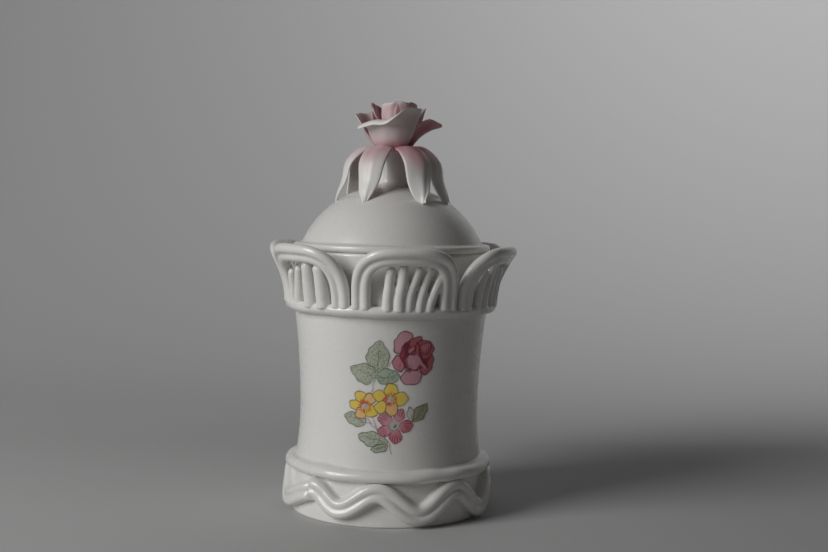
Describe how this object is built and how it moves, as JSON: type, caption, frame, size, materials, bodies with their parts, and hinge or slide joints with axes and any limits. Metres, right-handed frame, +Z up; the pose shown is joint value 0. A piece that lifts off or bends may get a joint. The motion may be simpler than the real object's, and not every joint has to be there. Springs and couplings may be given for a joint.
{
  "type": "porcelain trinket box",
  "caption": "Lidded porcelain trinket box: waisted cylindrical cup with coiled and pierced trim, flower print, and a domed lift-off lid with a hand-modelled rose finial.",
  "frame": {"origin": "centre of the foot, on the surface that the box stands on", "axes": "+Z up along the axis of the cup, printed side towards -Y, +X to the right seen from the printed side"},
  "size_m": [0.0789, 0.0806, 0.1296],
  "materials": {
    "white_glaze": "glossy, slightly warm white glaze over porcelain",
    "leaf_glaze": "glossy white glaze with a pink blush at the neck",
    "rose_glaze": "glossy glaze, airbrushed pink"
  },
  "bodies": {
    "box": {"cup": "white_glaze", "foot_coil": "white_glaze", "foot_wave_left": "white_glaze", "foot_wave_right": "white_glaze", "gallery_arch_1": "white_glaze", "gallery_arch_2": "white_glaze", "gallery_arch_3": "white_glaze", "gallery_arch_4": "white_glaze", "gallery_arch_5": "white_glaze", "gallery_arch_6": "white_glaze", "gallery_coil": "white_glaze", "gallery_fingers_1": "white_glaze", "gallery_fingers_2": "white_glaze", "gallery_fingers_3": "white_glaze", "gallery_fingers_4": "white_glaze", "gallery_fingers_5": "white_glaze", "gallery_fingers_6": "white_glaze"},
    "lid": {"finial_stem": "white_glaze", "inner_petal_1": "rose_glaze", "inner_petal_2": "rose_glaze", "inner_petal_3": "rose_glaze", "inner_petal_4": "rose_glaze", "lid": "white_glaze", "outer_petal_1": "rose_glaze", "outer_petal_2": "rose_glaze", "outer_petal_3": "rose_glaze", "outer_petal_4": "rose_glaze", "outer_petal_5": "rose_glaze", "rose_heart": "rose_glaze", "sepal_1": "leaf_glaze", "sepal_2": "leaf_glaze", "sepal_3": "leaf_glaze", "sepal_4": "leaf_glaze", "sepal_5": "leaf_glaze", "sepal_6": "leaf_glaze", "sepal_7": "leaf_glaze", "sepal_8": "leaf_glaze"}
  },
  "joints": [
    {"name": "lid_lift", "type": "slide", "parent": "box", "child": "lid", "axis": [0, 0, 1], "range_m": [0, 0.045]}
  ]
}
